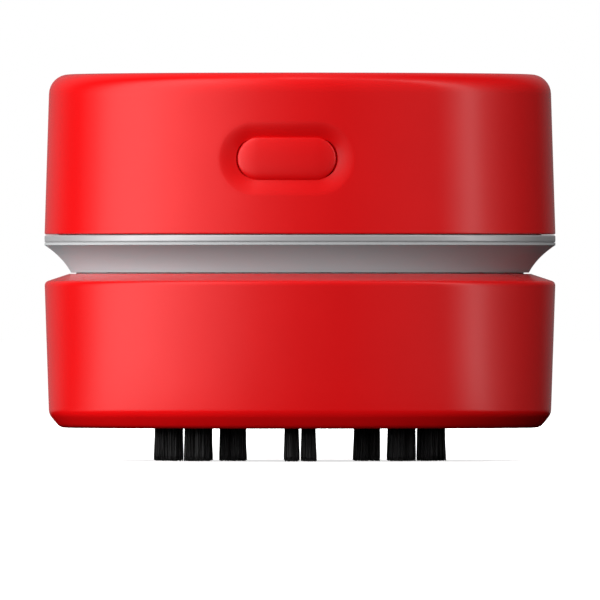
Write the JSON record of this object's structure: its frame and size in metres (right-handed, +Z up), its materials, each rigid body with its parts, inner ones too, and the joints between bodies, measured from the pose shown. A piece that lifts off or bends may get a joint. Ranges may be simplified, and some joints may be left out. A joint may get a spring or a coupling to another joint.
{
  "type": "desktop mini vacuum cleaner",
  "caption": "Battery desktop mini vacuum: round dust cup on bristle tufts, silver waist with fan and motor, red cover with push button; cup unscrews, cover lifts off.",
  "frame": {"origin": "under the middle of the bristle tips, on the surface that it stands on", "axes": "+Z up along the round body's axis, -Y towards the side with the push button"},
  "size_m": [0.082, 0.082, 0.062],
  "materials": {
    "shell_red": "moulded, semi-gloss",
    "button_red": "moulded, semi-gloss",
    "waist_silver": "satin silver-grey",
    "trim_silver": "bright silver paint",
    "black_plastic": "fine moulded grain",
    "bristle": "nylon filament",
    "screw_steel": "zinc plated",
    "filter_plastic": "white moulding",
    "filter_cloth": "fine woven mesh",
    "seal_rubber": "soft silicone",
    "motor_steel": "bright nickel",
    "ferrite": "dark ferrite",
    "bush_brass": "sintered",
    "cap_plastic": "white nylon",
    "shaft_steel": "ground",
    "core_steel": "stacked laminations",
    "copper": "enamelled copper",
    "fan_plastic": "white moulding",
    "cell_sleeve": "printed-free sleeve with bright ends",
    "contact_nickel": "nickel plated",
    "switch_plastic": "black moulding",
    "plunger_plastic": "white moulding",
    "lead_red": "soft insulation",
    "lead_black": "soft insulation"
  },
  "bodies": {
    "dust_box": {"lower_shell": "shell_red", "brush_plate": "black_plastic", "inner_tufts": "bristle", "outer_tufts": "bristle", "plate_screws": "screw_steel", "filter_frame": "filter_plastic", "filter_mesh": "filter_cloth"},
    "neck_seal": {"seal_ring": "seal_rubber"},
    "power_head": {"waist_ring": "waist_silver", "trim_ring": "trim_silver", "fan_shroud": "black_plastic", "shroud_screws": "screw_steel", "motor_can": "motor_steel", "motor_magnets": "ferrite", "motor_bush": "bush_brass", "motor_end_cap": "cap_plastic", "motor_terminals": "bush_brass", "motor_collar": "black_plastic", "collar_screws": "screw_steel", "battery_tray": "black_plastic", "tray_screws": "screw_steel", "left_cell": "cell_sleeve", "right_cell": "cell_sleeve", "battery_springs": "contact_nickel", "link_plate": "contact_nickel", "negative_plate": "contact_nickel", "positive_plate": "contact_nickel", "switch_body": "switch_plastic", "switch_terminals": "contact_nickel", "red_leads": "lead_red", "black_lead": "lead_black"},
    "fan_rotor": {"motor_shaft": "shaft_steel", "armature_core": "core_steel", "armature_coils": "copper", "commutator": "copper", "fan_impeller": "fan_plastic"},
    "top_cover": {"upper_shell": "shell_red", "button_retainer": "black_plastic", "retainer_screws": "screw_steel", "button_spring": "contact_nickel"},
    "push_button": {"power_button": "button_red"},
    "switch_slider": {"switch_plunger": "plunger_plastic"}
  },
  "joints": [
    {"name": "head_rise", "type": "slide", "parent": "dust_box", "child": "neck_seal", "axis": [0, 0, 1], "range_m": [0, 0.006]},
    {"name": "head_twist", "type": "hinge", "parent": "neck_seal", "child": "power_head", "pos_m": [0, 0, 0.0259], "axis": [0, 0, 1], "range_deg": [0, 60]},
    {"name": "fan_spin", "type": "hinge", "parent": "power_head", "child": "fan_rotor", "pos_m": [0, 0, 0.03], "axis": [0, 0, 1], "continuous": true},
    {"name": "cover_lift", "type": "slide", "parent": "power_head", "child": "top_cover", "axis": [0, 0, 1], "range_m": [0, 0.03]},
    {"name": "button_press", "type": "slide", "parent": "top_cover", "child": "push_button", "axis": [0.0541, 0.9985, 0], "range_m": [0, 0.0012], "stiffness_N_per_m": 600, "springref_m": -0.001, "deforming": ["button_spring"]},
    {"name": "plunger_press", "type": "slide", "parent": "power_head", "child": "switch_slider", "axis": [0.0541, 0.9985, 0], "range_m": [0, 0.0012]}
  ],
  "couplings": [
    {"joint": "head_rise", "follows": "head_twist", "m_per_rad": 0.0057296},
    {"joint": "plunger_press", "follows": "button_press", "ratio": 1}
  ]
}
